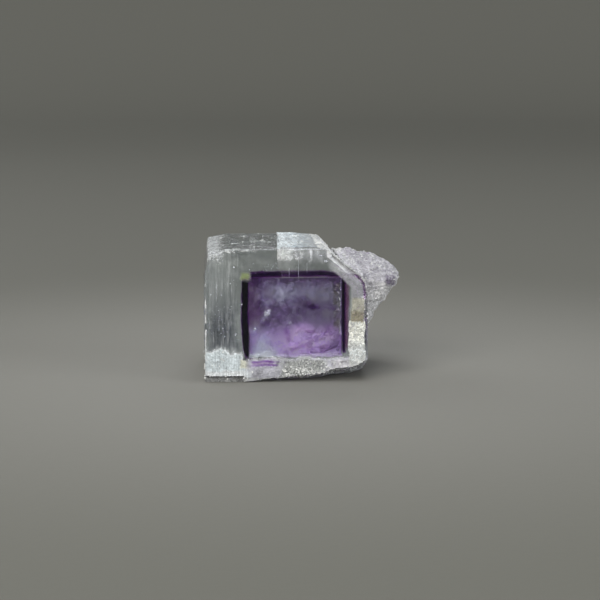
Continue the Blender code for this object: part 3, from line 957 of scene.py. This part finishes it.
def lavender_cloud():
    """The milky cloud further in, thickest low down and palest in its middle: a painted glow of
    light coming in from below.
    """
    points, triangles = sheet(-0.95, CLOUD_X, CLOUD_Z, 0.1, even(0.04), 0.45, 231)
    x, z = points[:, 0], points[:, 2]
    flat = points * [1, 0, 1]
    lumps = 0.5 + 0.5 * clouds(flat, 1.0, 233, 5)
    mottle = ramp(clouds(flat, 0.4, 234, 4), -0.6, 0.6)
    u, v = wandering(x, z, 1.1, 0.55, 235)
    # Painted light: more milk and a lavender tone low down, brightest in the middle and the lower
    # left.
    low = ramp(v - 0.35 * window(u, -1.4, 1.4, 0.8), 4.15, 2.8)
    middle = ramp(np.hypot(u / 2.1, (v - 2.45) / 1.35), 1.15, 0.25)
    corner = ramp(np.hypot((u + 2.8) / 1.3, (v - 2.0) / 1.3), 1.2, 0.3)
    low = low * (0.5 + 0.5 * np.maximum(middle, corner))

    most = 2.4
    veil = 0.12 + 0.14 * lumps + 0.12 * mottle + most * low**2
    veil *= 1.0 - 0.8 * window(u, -4.4, -3.2, 0.4) * ramp(v, 3.2, 4.2)
    veil *= 1.0 - 0.45 * window(u, -2.8, 2.9, 0.3) * window(v, 4.0, 5.0, 0.4) * lumps
    rim = np.minimum.reduce([x - CLOUD_X[0], CLOUD_X[1] - x, z - CLOUD_Z[0], CLOUD_Z[1] - z])
    tone = toned(np.array([0.5, 0.48, 0.62]), low, (0.86, 0.66, 1.0))
    painted_glow = window(u, -0.9, 1.9, 0.6) * window(v, 1.7, 3.0, 0.5)
    tone = toned(tone, painted_glow * (0.4 + 0.6 * mottle), (0.97, 0.8, 1.0))
    tone = toned(tone, ramp(u, -1.6, -3.0) * low, (0.8, 0.86, 0.97))
    veil = np.clip(veil * ramp(rim, 0.0, 0.12), 0.0, most)
    surface = points, triangles
    cloudy_piece("lavender_cloud", surface, cloudy("lavender_milk", False), veil, tone)


def pebble(centre, size, seed, ragged=0.35):
    """A small uneven closed lump."""
    ball = bmesh.new()
    bmesh.ops.create_icosphere(ball, subdivisions=3, radius=1.0)
    points = np.array([v.co for v in ball.verts])
    triangles = np.array([[v.index for v in f.verts] for f in ball.faces])
    ball.free()
    reach = 1.0 + ragged * clouds(points, 0.9, seed)
    return points * reach[:, None] * np.array(size) + np.array(centre), triangles


def fleck_white():
    n = Nodes("fleck_white", INSIDE_IOR)
    grain = n.noise(9.0, detail=4.0)
    return n.finish(
        base_color=n.mix(grain, (0.8, 0.8, 0.95, 1.0), WHITE),
        roughness=0.4,
        transmission_weight=n.span(grain, 0.35, 0.65, 0.3, 0.0),
    )


def inclusions():
    """White flecks inside the cube, and hair-thin scratches just under its front face."""
    flecks = []
    spread = np.random.default_rng(7)
    # Each group's middle, its reach across and up, how many flecks, and the largest.
    groups = [
        ((-2.6, -3.5, 4.72), (0.2, 0.2), 52, 0.048),
        ((-2.4, -3.5, 4.9), (0.12, 0.08), 12, 0.05),
        ((-2.86, -3.5, 4.24), (0.08, 0.12), 8, 0.045),
        ((-3.45, -3.5, 3.62), (0.08, 0.08), 6, 0.058),
        ((-1.02, -3.5, 4.05), (0.05, 0.08), 4, 0.058),
        ((-4.85, -4.3, 3.35), (0.05, 0.1), 5, 0.055),
        ((-4.93, -4.3, 8.12), (0.05, 0.04), 3, 0.055),
        ((-4.4, -4.3, 5.45), (0.03, 0.08), 3, 0.05),
        ((1.5, -4.7, 8.52), (0.12, 0.08), 9, 0.055),
        ((1.15, -4.7, 8.95), (0.16, 0.1), 7, 0.045),
        ((-3.3, -3.5, 2.5), (0.5, 0.9), 46, 0.026),
        ((-5.5, -4.6, 5.2), (0.9, 2.6), 34, 0.028),
        ((-2.0, -4.6, 8.2), (1.5, 0.45), 24, 0.026),
        ((1.0, -3.5, 2.6), (1.5, 0.9), 30, 0.022),
    ]
    for number, (centre, reach, count, largest) in enumerate(groups):
        for k in range(count):
            away = spread.normal(size=3) * 0.55 * np.array([reach[0], 0.12, reach[1]])
            size = spread.uniform(0.014, largest)
            sizes = (size, size * 0.6, size * spread.uniform(0.8, 1.6))
            flecks.append(pebble(np.array(centre) + away, sizes, 100 + 31 * number + k))
    scratches = ((-0.45, 7.95, 1.0), (-1.1, 7.7, 0.5), (0.15, 8.1, 0.4), (-6.2, 6.4, 0.7))
    for x, z, half_length in scratches:
        flecks.append(pebble((x, -4.86, z), (0.009, 0.007, half_length), int(40 + 10 * z), 0.2))
    joined("white_flecks", flecks, fleck_white())


def scatter_tree(material):
    """A node tree that scatters tiny cubes, nearly in line, where "grains" is painted."""
    tree = bpy.data.node_groups.new("scatter_tiny_cubes", "GeometryNodeTree")
    sockets = {"Surface": "Geometry", "Per Square Metre": "Float", "Smallest": "Vector"}
    sockets.update({"Largest": "Vector", "Turn": "Vector", "Seed": "Int"})
    for name, kind in sockets.items():
        tree.interface.new_socket(name, in_out="INPUT", socket_type="NodeSocket" + kind)
    tree.interface.new_socket("Cubes", in_out="OUTPUT", socket_type="NodeSocketGeometry")

    def add(kind, inputs, **settings):
        return new_node(tree, kind, inputs, **settings)

    given = add("NodeGroupInput", {})
    seed, turn = given["Seed"], given["Turn"]
    named = add("GeometryNodeInputNamedAttribute", {"Name": "grains"}, data_type="FLOAT")
    density = {0: named["Attribute"], 1: given["Per Square Metre"]}
    density = add("ShaderNodeMath", density, operation="MULTIPLY")
    spread = {"Mesh": given["Surface"], "Density": density[0], "Seed": seed}
    spread = add("GeometryNodeDistributePointsOnFaces", spread, distribute_method="RANDOM")
    cube = add("GeometryNodeMeshCube", {"Size": (1.0, 1.0, 1.0)})
    size = {"Min": given["Smallest"], "Max": given["Largest"], "Seed": seed}
    size = add("FunctionNodeRandomValue", size, data_type="FLOAT_VECTOR")
    back = add("ShaderNodeVectorMath", {0: turn, "Scale": -1.0}, operation="SCALE")
    turned = {"Min": back[0], "Max": turn}
    turned = add("FunctionNodeRandomValue", turned, data_type="FLOAT_VECTOR")
    cubes = {"Points": spread["Points"], "Instance": cube["Mesh"]}
    cubes.update({"Rotation": turned["Value"], "Scale": size["Value"]})
    cubes = add("GeometryNodeInstanceOnPoints", cubes)
    real = add("GeometryNodeRealizeInstances", {"Geometry": cubes["Instances"]})
    coated = {"Geometry": real["Geometry"], "Material": material}
    coated = add("GeometryNodeSetMaterial", coated)
    add("NodeGroupOutput", {"Cubes": coated["Geometry"]})
    return tree


def grain_white():
    n = Nodes("grain_white", FLUORITE_IOR)
    patch = n.noise(2.0, detail=4.0, rough=0.7)
    fine = n.noise(11.0, detail=3.0)
    return n.finish(
        base_color=n.mix(patch, (0.5, 0.52, 0.54, 1.0), (0.92, 0.93, 0.9, 1.0)),
        roughness=n.span(fine, 0.3, 0.7, 0.1, 0.35),
        transmission_weight=n.span(patch, 0.35, 0.65, 0.55, 0.15),
        normal=n.bump(fine, 0.02, strength=0.4),
    )


def tiny_cubes(surface):
    """Tiny cubes grown on the granular places of the crystal."""
    base = linked("grain_base", surface.data.copy())
    tree = scatter_tree(grain_white())
    scatter = base.modifiers.new("scatter", "NODES")
    scatter.node_group = tree
    values = {
        "Per Square Metre": 125.0 / MM**2,
        "Smallest": (0.025 * MM,) * 3,
        "Largest": (0.12 * MM, 0.1 * MM, 0.12 * MM),
        "Turn": (0.12,) * 3,
        "Seed": 11,
    }
    for item in tree.interface.items_tree:
        if item.name in values:
            scatter[item.identifier] = values[item.name]
    graph = bpy.context.evaluated_depsgraph_get()
    mesh = bpy.data.meshes.new_from_object(base.evaluated_get(graph), depsgraph=graph)
    bpy.data.objects.remove(base)
    mesh.name = "tiny_cubes"
    obj = linked("tiny_cubes", mesh)
    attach(obj, "root")


# ---- stage


def studio_sweep():
    """A round floor that curves up into a wall, open at the top."""
    radius, bend, bend_steps, around = 430.0, 120.0, 12, 96
    sunk = 0.004  # just under the crystal's foot, so that the two never share a plane
    profile = [(r, 0.0) for r in (0.0, 15.0, 40.0, 90.0, 200.0)]
    for step in range(bend_steps + 1):
        angle = math.pi / 2 * step / bend_steps
        out = radius - bend + bend * math.sin(angle)
        profile.append((out, bend - bend * math.cos(angle)))
    profile += [(radius, 180.0), (radius, 260.0)]
    points = [(0.0, 0.0, -sunk)]
    turns = [2 * math.pi * k / around for k in range(around)]
    for r, h in profile[1:]:
        points += [(r * math.cos(a), r * math.sin(a), h - sunk) for a in turns]
    faces = [(0, 1 + k, 1 + (k + 1) % around) for k in range(around)]
    for ring in range(len(profile) - 2):
        for k in range(around):
            a, b = 1 + ring * around + k, 1 + ring * around + (k + 1) % around
            faces += [(a, a + around, b + around), (a, b + around, b)]
    obj = mesh_object("studio_sweep", points, faces, stage_paint(), crease=60)


def softbox(name, place, size, power, colour):
    """A flat lamp, turned to the middle of the crystal."""
    light = bpy.data.lights.new(name, "AREA")
    light.shape = "RECTANGLE"
    light.size, light.size_y = size[0] * MM, size[1] * MM
    light.energy = power
    light.color = colour
    obj = linked(name, light)
    obj.location = Vector(place) * MM
    aim = Vector((0.0, 0.0, 4.0)) * MM - obj.location
    obj.rotation_euler = aim.to_track_quat("-Z", "Y").to_euler()


def studio_light():
    softbox("key_softbox", (-150, -280, 160), (240, 240), 1.5, (1.0, 0.97, 0.92))
    softbox("fill_softbox", (290, -170, 90), (200, 160), 0.75, (0.94, 0.96, 1.0))
    softbox("top_softbox", (-30, -50, 340), (260, 260), 0.9, (0.97, 0.98, 1.0))
    softbox("back_softbox", (40, 300, 300), (260, 180), 0.3, (0.97, 0.98, 1.0))
    softbox("rear_softbox", (-240, 230, 180), (220, 200), 0.4, (0.97, 0.98, 1.0))
    world = bpy.data.worlds.new("room")
    world.use_nodes = True
    sky = world.node_tree.nodes["Background"].inputs
    sky["Color"].default_value = (0.88, 0.9, 0.92, 1.0)
    sky["Strength"].default_value = 0.24
    bpy.context.scene.world = world


def camera():
    """A long lens, a little to the left of the front face and above it."""
    sensor, focal_pixels, picture_width = 36.0, 2073.0, 600.0
    azimuth, elevation, distance = math.radians(2.8), math.radians(8.2), 150.0
    aim = Vector((-0.1, 0.0, 5.1))
    bounces = 32  # light crosses many faces inside a clear crystal
    data = bpy.data.cameras.new("camera")
    data.sensor_width = sensor
    data.lens = focal_pixels * sensor / picture_width
    data.clip_start = 0.002
    data.clip_end = 5.0
    level = math.cos(elevation)
    away = (-math.sin(azimuth) * level, -math.cos(azimuth) * level, math.sin(elevation))
    away = Vector(away)
    obj = linked("camera", data)
    obj.location = (aim + away * distance) * MM
    obj.rotation_euler = (-away).to_track_quat("-Z", "Y").to_euler()
    scene = bpy.context.scene
    scene.camera = obj
    scene.view_settings.view_transform = "Standard"
    scene.cycles.max_bounces = bounces
    scene.cycles.transmission_bounces = bounces
    scene.cycles.transparent_max_bounces = bounces


tiny_cubes(crystal())
inside_colours()
violet_veil()
lavender_cloud()
inclusions()
studio_sweep()
studio_light()
camera()
